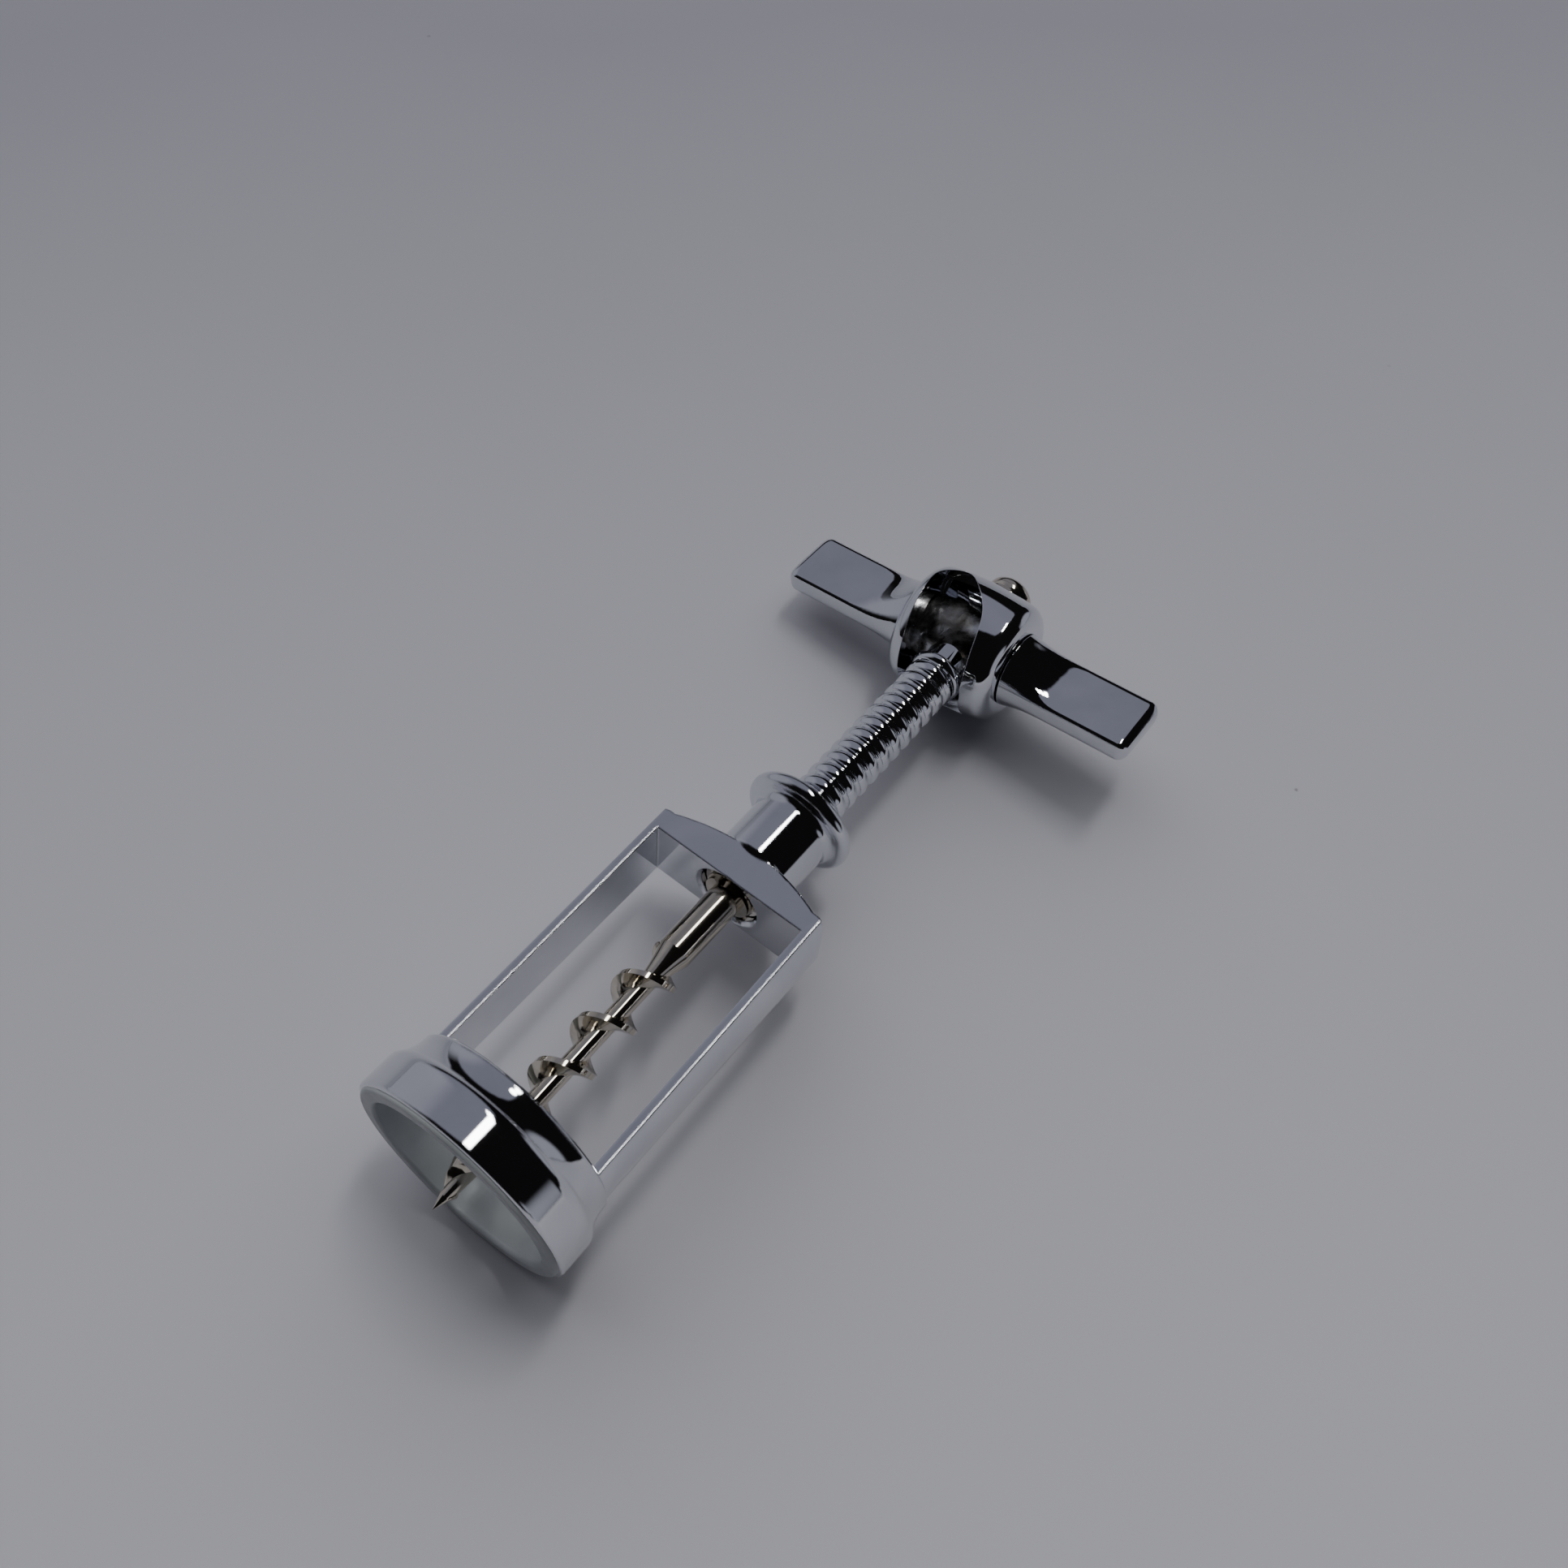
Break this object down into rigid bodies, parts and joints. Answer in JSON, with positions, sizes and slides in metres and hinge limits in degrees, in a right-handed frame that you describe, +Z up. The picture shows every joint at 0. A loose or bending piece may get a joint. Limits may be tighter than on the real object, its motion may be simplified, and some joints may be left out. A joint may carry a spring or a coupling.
{
  "type": "bell corkscrew",
  "caption": "Bell corkscrew with an open frame, an auger worm on a sliding ringed column and a T handle with flat wings that turns the worm.",
  "frame": {"origin": "under the middle of the whole tool, on the plane that the bell's edge rests on", "axes": "+Y along the tool axis from the bell's mouth to the handle, +X to the right wing, +Z up as the tool lies on a table"},
  "size_m": [0.0738, 0.1544, 0.04],
  "materials": {
    "chrome_casting": "polished chrome plating on a zinc casting",
    "chrome_column": "polished chrome plating",
    "chrome_hub": "polished chrome plating",
    "chrome_wings": "polished chrome plating",
    "cast_core": "chrome plating on an unpolished cast surface",
    "nickel_worm": "bright nickel plating with grinding marks",
    "nickel_head": "bright nickel plating",
    "spring_steel": "plain bright steel",
    "frosted_plastic": "translucent frosted polyethylene",
    "bush_plastic": "white acetal",
    "black_rubber": "nitrile rubber"
  },
  "bodies": {
    "frame": {"frame_casting": "chrome_casting", "bell_insert": "frosted_plastic", "guide_bush": "bush_plastic", "friction_ring": "black_rubber", "bush_circlip": "spring_steel"},
    "column": {"ring_column": "chrome_column", "stop_ring": "spring_steel"},
    "handle": {"worm_spindle": "nickel_worm", "shank_washer": "spring_steel", "shank_snap_ring": "spring_steel", "thrust_washer": "spring_steel", "spindle_pin": "spring_steel", "hub_shell": "chrome_hub", "hub_core": "cast_core", "left_wing": "chrome_wings", "right_wing": "chrome_wings", "left_wing_stud": "spring_steel", "right_wing_stud": "spring_steel", "rear_washer": "nickel_head", "dome_nut": "nickel_head"}
  },
  "joints": [
    {"name": "column_slide", "type": "slide", "parent": "frame", "child": "column", "axis": [0, 1, 0], "range_m": [-0.037, 0.0115]},
    {"name": "handle_turn", "type": "hinge", "parent": "column", "child": "handle", "pos_m": [0, 0.06005, 0.02], "axis": [0, 1, 0], "continuous": true}
  ]
}
